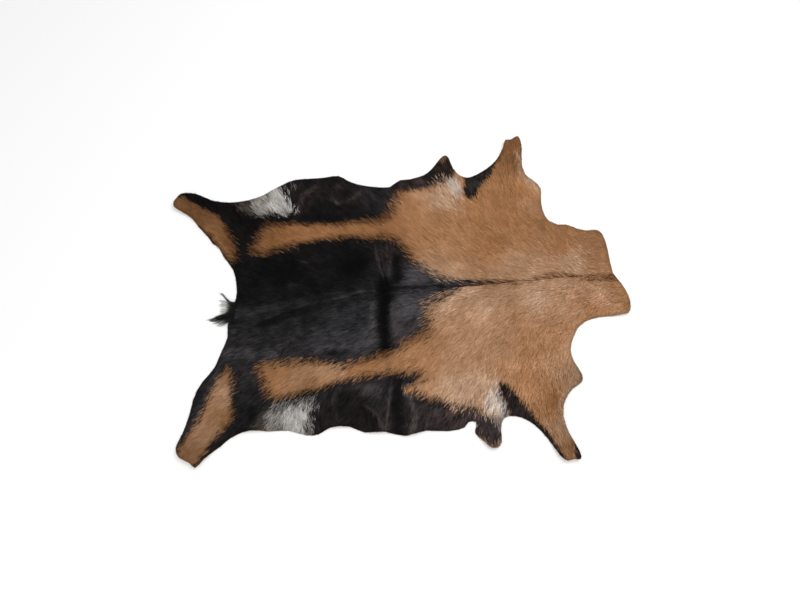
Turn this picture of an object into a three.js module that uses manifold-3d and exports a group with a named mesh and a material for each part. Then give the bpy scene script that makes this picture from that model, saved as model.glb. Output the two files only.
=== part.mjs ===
// A goatskin: one whole tanned hide with its short hair on, lying flat on a floor, hair side up.
// +X runs along the spine to the neck, +Y is the animal's left side and +Z is up. The origin is on the
// underside, at the middle of the spine. Sizes are in millimetres.
import * as THREE from "three";
import { mergeVertices } from "three/addons/utils/BufferGeometryUtils.js";
import Module from "manifold-3d";

const wasm = await Module();
wasm.setup();

// Thickness: the bare skin, and the hair that lies on it.
const SKIN = 1.6;
const HAIR_AT_RIM = 1.6;
const HAIR_ON_BACK = 5.4;
const HAIR_DEEPENS_OVER = 30;
// The coat's unevenness: long low waves, each by how far one turn of it runs along and across the spine.
const LUMPS = [
  { along: 82, across: 195, height: 0.5, start: 0 },
  { along: -232, across: 107, height: 0.5, start: 1 },
];

// How finely the surface and the rim are divided, and the reach of the blocks that shape the slab.
const SURFACE_STEP = 15;
const RIM_STEPS = 2; // between two landmarks of the rim
const HIDE_REACH = new THREE.Box2(new THREE.Vector2(-550, -420), new THREE.Vector2(495, 412));
const BLOCK_DEPTH = 20;
const PRISM_HEIGHT = 40;
const LEAST_LIFT = 0.3; // where the skin is raised less than this, it lies flat on the floor

// The rim, anticlockwise from the neck's right corner: each landmark's place along and across the spine.
const RIM = [
  { part: "neck end, right half", at: [[463, -98], [472, -83], [474, -55], [466, -25]] },
  { part: "neck end, left half", at: [[453, 2], [454, 60], [449, 98], [439, 111]] },
  { part: "neck, left side", at: [[415, 113], [392, 123], [372, 134], [352, 136], [334, 149], [326, 180]] },
  { part: "left shoulder", at: [[328, 212], [331, 234], [318, 258], [303, 277], [299, 303]] },
  { part: "left foreleg's end", at: [[304, 342], [306, 367], [302, 385], [296, 385], [281, 377], [270, 379]] },
  { part: "left foreleg, back", at: [[260, 357], [240, 326]] },
  { part: "left armpit", at: [[214, 304], [187, 289], [163, 282], [145, 292], [132, 313]] },
  { part: "left flap", at: [[125, 341], [117, 347], [102, 336], [84, 316], [60, 297]] },
  { part: "left belly", at: [[30, 289], [5, 290], [-12, 280], [-23, 273], [-58, 277], [-98, 288], [-122, 302]] },
  { part: "left flank", at: [[-141, 316], [-175, 314], [-222, 314], [-262, 307], [-300, 290], [-320, 278]] },
  { part: "left groin", at: [[-355, 268], [-398, 266], [-438, 275], [-465, 291], [-485, 298]] },
  { part: "left hock", at: [[-510, 297], [-519, 286], [-526, 274], [-524, 262], [-505, 248], [-484, 231]] },
  { part: "left thigh", at: [[-468, 207], [-447, 180], [-432, 157], [-423, 152], [-410, 124], [-388, 88]] },
  { part: "rump", at: [[-381, 50], [-382, 18], [-390, 6], [-399, -14], [-398, -34], [-400, -48], [-400, -72]] },
  { part: "right thigh", at: [[-414, -107], [-429, -142], [-452, -167], [-469, -203], [-475, -231], [-489, -273]] },
  { part: "right hock", at: [[-500, -300], [-493, -319], [-472, -332], [-460, -343], [-443, -326], [-412, -304]] },
  { part: "right groin", at: [[-385, -285], [-352, -278], [-315, -283], [-275, -285], [-240, -298], [-216, -298]] },
  { part: "right flank", at: [[-192, -287], [-152, -289], [-124, -303], [-82, -306], [-42, -318], [0, -311]] },
  { part: "right belly", at: [[42, -316], [78, -312], [87, -302], [98, -301], [112, -308]] },
  { part: "right flap", at: [[101, -314], [98, -325], [112, -343], [125, -358], [138, -359], [148, -349]] },
  { part: "right armpit", at: [[151, -319], [158, -303], [173, -297], [197, -303], [220, -320]] },
  { part: "right foreleg, back", at: [[242, -351], [260, -388]] },
  { part: "right foreleg's end", at: [[271, -398], [284, -396], [298, -397], [299, -382], [286, -343]] },
  { part: "right shoulder", at: [[281, -308], [289, -278], [312, -252], [333, -240], [336, -225], [326, -194]] },
  { part: "neck, right side", at: [[324, -168], [338, -136], [361, -110], [400, -100]] },
];

// Where the skin rises off the floor in long soft folds: a fold's height, its half width and its two ends.
const FOLDS = [
  { name: "left of the cross crease", height: 5.0, halfWidth: 30, from: [-96, -330], to: [-86, 120] },
  { name: "right of the cross crease", height: 4.5, halfWidth: 26, from: [-26, -330], to: [-38, 110] },
  { name: "left foreleg", height: 3.5, halfWidth: 20, from: [262, 240], to: [284, 400] },
  { name: "right foreleg", height: 3.5, halfWidth: 20, from: [286, -250], to: [296, -400] },
  { name: "left flank", height: 5.0, halfWidth: 34, from: [-255, 330], to: [-215, 235] },
  { name: "left belly", height: 4.0, halfWidth: 36, from: [40, 300], to: [70, 225] },
  { name: "right flank", height: 4.0, halfWidth: 34, from: [-178, -300], to: [-150, -225] },
  { name: "right groin", height: 4.0, halfWidth: 34, from: [-345, -290], to: [-350, -215] },
];
const FOLD_FADE = 45; // a fold dies away over this length at its far end

// Where the rim curls up off the floor: the middle of the curl, how far it reaches and its height.
const CURLS = [
  { name: "left hock", at: [-526, 282], reach: 80, height: 8 },
  { name: "right hock", at: [-484, -332], reach: 80, height: 7 },
  { name: "left foreleg", at: [290, 392], reach: 75, height: 8 },
  { name: "right foreleg", at: [284, -400], reach: 75, height: 7 },
  { name: "left flap", at: [120, 354], reach: 55, height: 7 },
  { name: "right flap", at: [132, -358], reach: 50, height: 6 },
  { name: "neck, left corner", at: [450, 112], reach: 60, height: 6 },
  { name: "neck, right corner", at: [470, -90], reach: 60, height: 5 },
  { name: "left shoulder", at: [334, 238], reach: 45, height: 5 },
  { name: "right shoulder", at: [338, -232], reach: 45, height: 5 },
];

// Lines where the coat stands higher or lies lower: its depth, its half width and the points that it runs through.
const RELIEF = [
  { name: "spine", depth: 2.0, halfWidth: 26, through: [[-360, -8], [-90, 6], [120, 9], [300, 3], [430, -6]] },
  { name: "parting", depth: -1.6, halfWidth: 12, through: [[90, 12], [200, 4], [330, 8], [390, -2], [452, -6]] },
  { name: "cross crease", depth: -2.6, halfWidth: 17, through: [[-54, 128], [-60, 20], [-66, -60], [-66, -135]] },
  { name: "belly crease", depth: -1.8, halfWidth: 15, through: [[-62, -180], [-58, -312]] },
  { name: "left foreleg", depth: -1.4, halfWidth: 12, through: [[284, 285], [299, 392]] },
  { name: "right foreleg", depth: -1.4, halfWidth: 12, through: [[268, -262], [288, -392]] },
];

// The tail: a narrow root set into the rim of the rump, and locks of long hair that lie out on the floor.
const TAIL = { middle: [-392, -14], length: 50, width: 15, height: 5.5, turn: -0.1 };
const SEAT_GAP = 0.4; // clearance all round the tail's root in the rump
const SEAT_HEIGHT = 30;
const LOCK_SIDES = 4;
const LOCK_STEPS = 4;
const LOCK_ROOT_DEPTH = 6; // how far a lock starts inside the tail's root
const LOCK_GROUPS = [
  { name: "swept up", count: 7, from: 19, to: 9, length: 35, thick: 3.0, sweep: 32, spread: -5, layer: 1.2 },
  { name: "between", count: 9, from: 11, to: -6, length: 27, thick: 2.6, sweep: 15, spread: -13, layer: 1.6 },
  { name: "underneath", count: 11, from: 4, to: -22, length: 37, thick: 3.2, sweep: 5, spread: -14, layer: 0 },
  { name: "laid over", count: 10, from: -2, to: -21, length: 43, thick: 3.4, sweep: 1, spread: -15, layer: 2.2 },
];
const LOCK_UNEVEN = 0.16; // share by which the locks' lengths differ
const LOCK_WANDER = 3; // how far a lock's tip strays from its group's sweep
const LOCK_BEND = 1.8; // how late along its length a lock bends
const CHANCE = 7; // steps the sines that make the locks uneven

const HAIR_COLOUR = "#8a5f3c"; // tan, the coat's largest colour
const TAIL_COLOUR = "#1b191b";

const clamp01 = (t) => Math.min(1, Math.max(0, t));
const smooth = (t) => clamp01(t) ** 2 * (3 - 2 * clamp01(t));
// 1 in the middle of a fold, falling softly to 0 where the share of its half width reaches 1.
const swell = (share) => (share < 1 ? 0.5 + 0.5 * Math.cos(Math.PI * share) : 0);

// How far a place is from a straight stretch, and how far along it the nearest point lies.
function fromStretch(x, y, [ax, ay], [bx, by]) {
  const dx = bx - ax;
  const dy = by - ay;
  const length = Math.hypot(dx, dy);
  const along = Math.min(length, Math.max(0, ((x - ax) * dx + (y - ay) * dy) / length));
  const away = Math.hypot(x - ax - (along * dx) / length, y - ay - (along * dy) / length);
  return { away, along, length };
}

function fromLine(x, y, points) {
  const stretches = points.slice(1).map((point, i) => fromStretch(x, y, points[i], point));
  return Math.min(...stretches.map((stretch) => stretch.away));
}

function makeRim() {
  const landmarks = RIM.flatMap((row) => row.at).map(([x, y]) => new THREE.Vector3(x, y, 0));
  const curve = new THREE.CatmullRomCurve3(landmarks, true, "centripetal");
  const points = curve.getPoints(landmarks.length * RIM_STEPS);
  points.pop(); // the last point is the first again
  return points.map((point) => [point.x, point.y]);
}

// The underside's height above the floor.
function liftAt(x, y) {
  let lift = 0;
  for (const fold of FOLDS) {
    const { away, along, length } = fromStretch(x, y, fold.from, fold.to);
    const ends = smooth((length - along) / FOLD_FADE);
    lift = Math.max(lift, fold.height * swell(away / fold.halfWidth) * ends);
  }
  for (const curl of CURLS) {
    const away = Math.hypot(x - curl.at[0], y - curl.at[1]);
    lift = Math.max(lift, curl.height * smooth(1 - away / curl.reach));
  }
  return lift;
}

// The skin and its coat together, from the underside to the top of the hair.
function thicknessAt(x, y, closedRim) {
  const fromRim = smooth(fromLine(x, y, closedRim) / HAIR_DEEPENS_OVER);
  const hair = HAIR_AT_RIM + (HAIR_ON_BACK - HAIR_AT_RIM) * fromRim;
  let relief = 0;
  for (const { along, across, height, start } of LUMPS) {
    relief += height * Math.sin(2 * Math.PI * (x / along + y / across) + start);
  }
  for (const { depth, through, halfWidth } of RELIEF) {
    relief += depth * swell(fromLine(x, y, through) / halfWidth);
  }
  return SKIN + hair + relief * (hair / HAIR_ON_BACK);
}

// A block under the whole hide, flat below, whose top follows a height that depends on the place.
function blockUpTo(heightAt) {
  const { min, max } = HIDE_REACH;
  const size = new THREE.Vector2().subVectors(max, min);
  const steps = size.clone().divideScalar(SURFACE_STEP).round();
  const block = new THREE.BoxGeometry(size.x, size.y, 1, steps.x, steps.y, 1);
  block.translate((min.x + max.x) / 2, (min.y + max.y) / 2, 0);
  const place = block.attributes.position;
  for (let i = 0; i < place.count; i++) {
    const isTop = place.getZ(i) > 0;
    place.setZ(i, isTop ? heightAt(place.getX(i), place.getY(i)) : -BLOCK_DEPTH);
  }
  return solidOf(block);
}

function solidOf(geometry) {
  const bare = geometry.clone();
  bare.deleteAttribute("normal");
  bare.deleteAttribute("uv");
  const merged = mergeVertices(bare, 1e-4);
  const vertProperties = merged.attributes.position.array;
  const triVerts = new Uint32Array(merged.index.array);
  return new wasm.Manifold(new wasm.Mesh({ numProp: 3, vertProperties, triVerts }));
}

function geometryOf(solid) {
  const { numProp, vertProperties, triVerts } = solid.getMesh();
  const geometry = new THREE.BufferGeometry();
  geometry.setAttribute("position", new THREE.BufferAttribute(vertProperties, numProp));
  geometry.setIndex(new THREE.BufferAttribute(triVerts, 1));
  geometry.computeVertexNormals();
  return geometry;
}

function tailRoot(width, length, height) {
  return onRump(new THREE.BoxGeometry(width, length, height).translate(0, 0, TAIL.height / 2));
}

function onRump(geometry) {
  return geometry.rotateZ(TAIL.turn).translate(...TAIL.middle, 0);
}

// The rim's outline raised to a prism, cut by the top of the hair, and hollowed where the skin is raised.
function makeHide() {
  const rim = makeRim();
  const closedRim = [...rim, rim[0]];
  const outline = new THREE.Shape(rim.map(([x, y]) => new THREE.Vector2(x, y)));
  const prism = new THREE.ExtrudeGeometry(outline, { depth: PRISM_HEIGHT, bevelEnabled: false });
  const coat = blockUpTo((x, y) => liftAt(x, y) + thicknessAt(x, y, closedRim));
  const hollows = blockUpTo((x, y) => liftAt(x, y) - LEAST_LIFT);
  const seat = solidOf(tailRoot(TAIL.width + 2 * SEAT_GAP, TAIL.length + 2 * SEAT_GAP, SEAT_HEIGHT));
  return geometryOf(solidOf(prism).intersect(coat).subtract(hollows).subtract(seat));
}

// One tapering lock, its root inside the tail's root and its underside on the floor or on the locks below.
function makeLock({ y, length, thick, sweep, layer }) {
  const lock = new THREE.ConeGeometry(thick / 2, length, LOCK_SIDES, LOCK_STEPS);
  const place = lock.attributes.position;
  for (let i = 0; i < place.count; i++) {
    const share = clamp01(place.getY(i) / length + 0.5);
    const radius = (thick / 2) * (1 - share);
    const x = -TAIL.width / 2 + LOCK_ROOT_DEPTH - length * share;
    const bend = y + sweep * share ** LOCK_BEND + place.getX(i);
    place.setXYZ(i, x, bend, radius + layer * (1 - share) + place.getZ(i));
  }
  return solidOf(onRump(lock));
}

function makeTail() {
  let tail = solidOf(tailRoot(TAIL.width, TAIL.length, TAIL.height));
  for (const group of LOCK_GROUPS) {
    for (let i = 0; i < group.count; i++) {
      const share = i / (group.count - 1);
      const y = group.from + (group.to - group.from) * share;
      const length = group.length * (1 + LOCK_UNEVEN * Math.sin(CHANCE * i + group.length));
      const sweep = group.sweep + group.spread * share + LOCK_WANDER * Math.cos(CHANCE * i);
      tail = tail.add(makeLock({ y, length, thick: group.thick, sweep, layer: group.layer }));
    }
  }
  return geometryOf(tail);
}

function named(name, geometry, color, roughness) {
  const mesh = new THREE.Mesh(geometry, new THREE.MeshStandardMaterial({ color, roughness, metalness: 0 }));
  mesh.name = name;
  return mesh;
}

const goatskin = new THREE.Group();
goatskin.add(named("hide", makeHide(), HAIR_COLOUR, 0.8));
goatskin.add(named("tail_tuft", makeTail(), TAIL_COLOUR, 0.7));

export default goatskin;
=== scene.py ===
"""The looks of a hair-on goatskin laid flat on a floor: its tanned skin, lying coat and tail.

Places are in millimetres on the frame's own axes: X runs along the spine to the neck, and Y to the
animal's left.
"""

import math

import bmesh
import bpy
import numpy as np
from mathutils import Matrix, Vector
from mathutils.bvhtree import BVHTree


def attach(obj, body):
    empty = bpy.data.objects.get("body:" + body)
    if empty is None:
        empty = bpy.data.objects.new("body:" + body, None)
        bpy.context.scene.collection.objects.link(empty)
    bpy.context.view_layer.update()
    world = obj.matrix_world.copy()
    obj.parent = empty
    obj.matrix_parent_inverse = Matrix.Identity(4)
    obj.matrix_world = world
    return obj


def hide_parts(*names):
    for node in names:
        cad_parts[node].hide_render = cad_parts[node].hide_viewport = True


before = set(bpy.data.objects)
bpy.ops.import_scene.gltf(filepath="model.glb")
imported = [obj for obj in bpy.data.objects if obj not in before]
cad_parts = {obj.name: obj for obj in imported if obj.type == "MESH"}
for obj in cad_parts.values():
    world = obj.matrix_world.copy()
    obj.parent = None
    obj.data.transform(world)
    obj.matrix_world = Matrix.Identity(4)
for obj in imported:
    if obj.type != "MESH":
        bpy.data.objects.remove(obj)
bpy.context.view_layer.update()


def table(columns, *rows):
    """Rows of named values. The names are written once, over the rows."""
    return [dict(zip(columns.split(), row)) for row in rows]


MM = 0.001
SKIN_THICK = 1.4
SKIN_IN_SOLID = 1.6  # the skin's share of the solid's thickness, under the hair
SKIN_CREASE = 50  # degrees: the skin's cut edge is sharp, and its folds are smooth
GRAIN_SHADE = 0.6  # the skin under the hair is darker than the hair
LEAST_COAT = 0.8  # the coat is nowhere thinner than this

# How finely the skin and the fields over it are divided
SKIN_CELL = 9.0
GROUND_CELL = 4.0
RIM_CELL = 2.0
GROUND_BLUR = 2
FIELD_MARGIN = 30  # the fields reach this far past the rim
RAYS_FROM = {"under": -50.0, "over": 100.0}
UPWARD = 0.05  # a face that looks up by less than this is part of the solid's side

# Chance that changes smoothly from place to place, and in cells
DRIFT_GRID = 64
DRIFT_START = 900.5
CELL_GRID = (127, 131)
COAT_SEED = 5
TAIL_SEED = 17

# The tail's root strip: its middle, its size and how far it is turned. The solid hide has a seat for it.
TAIL_ROOT = {"at": (-392.0, -14.0), "length": 50.0, "width": 15.0, "turn": -0.1}
TAIL_SEAT_MARGIN = 1.5

# The camera of the photograph: how high it looks down, from how far, and what it looks at
CAMERA = {
    "elevation": 66.0,
    "azimuth": -5.4,
    "distance": 1500.0,
    "look": (-25.1, -18.5, 0.0),
    "lens": 30.85,
    "sensor": 36.0,
}
# For each millimetre of its height, a raised point is seen this much further up on the floor behind it
SEEN_SHIFT = 1.0 / math.tan(math.radians(CAMERA["elevation"]))

# Where the hair flows on one half of the skin: degrees from the way to the tail, turned towards the belly.
# The other half mirrors it.
FLOW = table(
    "part at turn",
    ("neck, by the spine", (450, 15), 6),
    ("neck, middle", (420, 55), 24),
    ("neck, side", (420, 95), 34),
    ("throat", (350, 120), 48),
    ("nape", (300, 20), 12),
    ("nape, lower", (290, 70), 38),
    ("withers", (180, 14), 10),
    ("shoulder, upper", (190, 80), 40),
    ("shoulder", (250, 150), 58),
    ("shoulder, rear", (160, 170), 54),
    ("chest corner", (320, 220), 66),
    ("foreleg, top", (280, 260), 84),
    ("foreleg, back", (225, 270), 72),
    ("foreleg, middle", (280, 320), 98),
    ("foreleg, end", (286, 385), 100),
    ("armpit", (170, 260), 74),
    ("behind the armpit", (120, 230), 58),
    ("belly flap", (118, 320), 80),
    ("ribs, front", (60, 180), 44),
    ("ribs, upper", (60, 80), 34),
    ("back", (20, 15), 8),
    ("belly, front", (40, 270), 50),
    ("ribs, rear", (-100, 160), 34),
    ("loin", (-150, 15), 5),
    ("loin, side", (-180, 90), 20),
    ("belly, middle", (-90, 270), 60),
    ("flank stripe", (-240, 170), 30),
    ("flank", (-170, 250), 48),
    ("belly, rear", (-180, 300), 66),
    ("white patch, front", (-240, 265), 100),
    ("white patch", (-275, 270), 78),
    ("white patch, rear", (-325, 255), 36),
    ("croup", (-330, 20), 4),
    ("croup, side", (-330, 100), 18),
    ("thigh", (-390, 150), 38),
    ("groin", (-390, 240), 34),
    ("hind leg", (-440, 220), 44),
    ("hock", (-505, 275), 40),
)
FLOW_SHARPNESS = 3.0  # how quickly one part's direction gives way to the next
EVEN_NEAR = 4.0  # a place nearer than about this weighs no more

# The hairs' roots and lengths. A blade stands for a fine lock of hairs.
ROOT_SPACING = 1.8
ROOT_SCATTER = 0.6  # as a share of the spacing
ROOTS_FROM_RIM = 0.4
HAIR_LENGTH = 21.0
HAIR_LENGTHS = (0.72, 1.12)  # a hair's own share of that length
LEG_HAIR_SHARE = 0.7  # the legs' and neck's hair is shorter
LONG_HAIR = {"middle": -60, "across": 1.15, "reach": 260, "fade": 190}
# Each hair's shape: how it turns and curls, and how deep it lies in the coat
HAIR_TURN = 5.5
HAIR_CURL = 0.9
BLADE_STEPS = np.array([0.0, 0.5, 1.0])
BLADE_RISE = np.array([0.0, 0.85, 1.0])
CLUMP_BEND = 1.4  # a hair bends towards its clump's middle mostly near its tip
ROOT_SUNK = 0.1
COAT_DEPTHS = (0.45, 1.05)  # how high a hair's tip lies, as a share of the coat's depth
CLUMP_DEPTH = 0.12
FULL_DEPTH_LENGTH = 12  # a shorter hair than this doesn't reach the coat's top
BLADE_WIDTH = 1.25
BLADE_WIDTHS = (0.75, 1.2)
BLADE_RIDGE = 0.42  # the ridge's height over the blade's sides, as a share of its width
BLADE_ROOT_WIDTH = 0.8
BLADE_TAPER = 0.35
BLADE_TILT = 0.17
# A hair that would pass the rim by more than this is made shorter and straighter, in a few rounds
OVERHANG = 1.6
TRIMS = 9
TRIM_LENGTH = 0.8
TRIM_BEND = 0.7
# Clumps of hairs, small and large: how much they draw the hairs together, turn them and share a chance
CLUMPS = [
    {"size": 4.4, "pull": 0.42, "turn": 7.0, "sway": 0.6, "seed": 100},
    {"size": 13.0, "pull": 0.22, "turn": 6.0, "sway": 0.45, "seed": 101},
]
CLUMP_SCATTER = 0.45

# Brightness is kept on the second scale of the colour map, from 0 to this
BRIGHTEST = 4.0
DARKEST = 0.002
# A blade's corners are kept apart on the colour map by these, so no face has a width of zero there
MAP_ASIDE = 0.004
MAP_ALONG = 0.0004
MAP_ENDS = (0.01, 0.99)
# Painted shade at the roots, which lie under the coat's other hair, and lighter tips
DARK_ALONG = np.array([0.62, 0.95, 1.08])  # a dark hair's brightness from its root to its tip
LIGHT_ALONG = np.array([0.76, 0.97, 1.04])
# Painted shade on the hair near the rim, where it curves down
RIM_SHADE = 0.30
RIM_SHADE_WIDTH = 10
# A hair takes its colour from between its middle and its tip, a little astray along and across its way
COLOUR_FROM = (0.7, 0.3)
COLOUR_ASTRAY = (3.6, 0.8)

# The coat's colour families, along one scale from blue-black through brown and tan to white. The blue-black
# is black hair under a painted blue-grey sheen.
FAMILIES = {
    "blue sheen black": 0.04,
    "black": 0.14,
    "brown black": 0.24,
    "brown": 0.36,
    "deep tan": 0.48,
    "tan": 0.60,
    "grey tan": 0.72,
    "cream": 0.84,
    "white": 0.96,
}
FAMILY_COLOURS = {
    "blue sheen black": (0.0295, 0.0280, 0.0305),
    "black": (0.0200, 0.0178, 0.0185),
    "brown black": (0.0300, 0.0205, 0.0190),
    "brown": (0.1350, 0.0660, 0.0310),
    "deep tan": (0.4000, 0.1800, 0.0690),
    "tan": (0.5200, 0.2580, 0.1140),
    "grey tan": (0.6000, 0.3600, 0.2150),
    "cream": (0.7200, 0.5500, 0.4100),
    "white": (0.7600, 0.7300, 0.7000),
}

# The tan coat's outline, from the left stripe's rear end round to the front and back along the right stripe
TAN_COAT = table(
    "edge at",
    ("left stripe, under", [(-351, 141), (-339, 125), (-318, 121), (-279, 129), (-240, 142)]),
    ("left stripe, under, front", [(-200, 145), (-140, 149), (-100, 143), (-60, 140), (-36, 137)]),
    ("black wedge, left", [(-16, 124), (0, 99), (12, 75), (33, 52), (54, 35), (76, 19), (105, 15)]),
    ("black wedge, tip", [(130, 12), (109, 0), (86, -9), (58, -21), (34, -32)]),
    ("black wedge, right", [(25, -49), (23, -64), (27, -80), (18, -101), (-7, -109), (-25, -120)]),
    ("right stripe, over", [(-43, -132), (-80, -140), (-120, -151), (-160, -155), (-200, -141)]),
    ("right stripe, rear", [(-240, -139), (-300, -133), (-329, -136), (-340, -151), (-333, -171)]),
    ("right stripe, under", [(-318, -204), (-302, -220), (-260, -213), (-207, -205), (-180, -197)]),
    ("right stripe, front", [(-150, -191), (-123, -187), (-57, -185), (-30, -190), (0, -190)]),
    ("right belly", [(-18, -211), (-40, -222), (-14, -234), (9, -245), (37, -253), (64, -264)]),
    ("right belly, front", [(90, -272), (110, -280), (122, -289), (132, -301), (147, -315), (155, -340)]),
    ("past the forelegs and neck", [(200, -430), (540, -430), (540, 430), (200, 430), (140, 330)]),
    ("left belly, front", [(127, 294), (113, 281), (99, 276), (78, 271), (60, 264), (30, 264)]),
    ("left belly", [(8, 262), (-6, 251), (-18, 234), (-22, 212), (-36, 198), (-56, 192)]),
    ("left stripe, over", [(-103, 191), (-150, 188), (-187, 192), (-220, 194), (-253, 199)]),
    ("left stripe, rear", [(-313, 203), (-323, 194), (-335, 167)]),
)
# How wide the border between tan and black hair is, by place, and how brown its hairs are
BORDERS = table(
    "border at wide brown",
    ("wedge, left", (45, 50), 32, 0.05),
    ("wedge, left, rear", (-20, 112), 28, 0.7),
    ("wedge's tip", (125, 6), 14, 0.1),
    ("wedge, right", (45, -26), 44, 0.15),
    ("wedge, right, rear", (20, -85), 42, 0.7),
    ("left stripe, under", (-150, 145), 19, 0.6),
    ("left stripe, rear", (-335, 128), 28, 0.7),
    ("left stripe, over", (-180, 192), 11, 0.6),
    ("right stripe, over", (-150, -147), 27, 0.35),
    ("right stripe, rear", (-325, -145), 30, 0.4),
    ("right stripe, under", (-200, -204), 15, 0.5),
    ("right flank, front", (-20, -215), 18, 0.5),
    ("right belly", (60, -265), 8, 0.5),
    ("left flank, front", (-40, 225), 38, 0.7),
    ("left belly", (60, 262), 8, 0.5),
    ("left hind leg", (-445, 250), 6, 0.4),
    ("left hind leg, inner", (-392, 170), 18, 0.6),
    ("right hind leg, rear", (-430, -185), 12, 0.3),
    ("right hind leg, front", (-400, -262), 13, 0.4),
)
BORDER_SHARPNESS = 3.0
TAN_RETREAT = 3.5  # the outlines are drawn round the last tan hairs
# The tan hair on the hind legs
LEG_BANDS = table(
    "leg at",
    (
        "left hind leg",
        [(-545, 312), (-514, 298), (-499, 293), (-480, 277), (-461, 262), (-441, 251), (-425, 238),
         (-414, 224), (-409, 208), (-400, 193), (-392, 175), (-385, 155), (-379, 136), (-380, 121),
         (-387, 110), (-404, 116), (-416, 134), (-436, 160), (-448, 186), (-480, 215), (-570, 240)],
    ),
    (
        "right hind leg",
        [(-403, -133), (-410, -142), (-417, -156), (-425, -174), (-436, -191), (-444, -208), (-452, -225),
         (-461, -244), (-472, -263), (-484, -281), (-494, -297), (-502, -310), (-480, -360), (-462, -348),
         (-456, -333), (-446, -317), (-434, -301), (-421, -287), (-407, -273), (-395, -263), (-387, -249),
         (-385, -234), (-391, -220), (-393, -206), (-389, -190), (-388, -170), (-391, -151),
         (-397, -136)],
    ),
)
# Marks of black hair on the tan coat: how softly each ends and how many of its hairs are black
BLACK_MARKS = table(
    "mark soft share at",
    (
        "left armpit", 9, 1.0,
        [(154, 300), (155, 274), (150, 256), (148, 241), (155, 229), (165, 223), (175, 233), (183, 244),
         (192, 257), (202, 268), (213, 280), (223, 293), (230, 305), (238, 317), (252, 340), (240, 352),
         (170, 330)],
    ),
    (
        "right armpit", 7, 1.0,
        [(158, -229), (161, -246), (166, -262), (170, -280), (174, -305), (215, -345), (255, -415),
         (275, -412), (268, -390), (260, -371), (252, -353), (243, -336), (233, -320), (223, -304),
         (213, -289), (206, -275), (198, -261), (190, -249), (183, -239), (175, -227), (165, -222)],
    ),
    (
        "behind the right armpit's black", 7, 0.98,
        [(150, -240), (160, -240), (165, -262), (170, -282), (175, -306), (161, -308), (157, -290),
         (153, -275), (149, -258)],
    ),
    (
        "right forefoot", 5, 1.0,
        [(290, -410), (290, -386), (293, -368), (297, -356), (310, -364), (310, -410)],
    ),
    (
        "parting in the right belly's pale hair", 3, 1.0,
        [(-248, -241), (-236, -243), (-218, -249), (-200, -254), (-200, -266), (-218, -261),
         (-238, -251)],
    ),
    (
        "spike in the left thigh", 4, 0.8,
        [(-437, 231), (-416, 225), (-396, 212), (-399, 219), (-420, 229)],
    ),
    (
        "before the left flank", 26, 0.45,
        [(-72, 236), (-34, 238), (-12, 226), (-14, 206), (-30, 196), (-62, 198)],
    ),
    (
        "before the right flank", 18, 0.28,
        [(-40, -186), (0, -194), (22, -206), (14, -214), (-20, -212), (-42, -200)],
    ),
)
# The line down the spine: a place, half its width there and how many of its hairs are dark
SPINE_LINE = table(
    "at half_width dark",
    ((60, 6), 12.0, 1.0),
    ((105, 9), 10.0, 1.0),
    ((150, 8), 7.0, 0.85),
    ((205, 4), 6.5, 0.62),
    ((247, -2), 7.0, 0.30),
    ((283, 5), 7.0, 0.34),
    ((320, 10), 7.5, 0.36),
    ((353, 5), 7.5, 0.48),
    ((383, -5), 8.5, 0.6),
    ((420, -6), 8.5, 0.75),
    ((456, -10), 8.0, 0.85),
)
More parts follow.
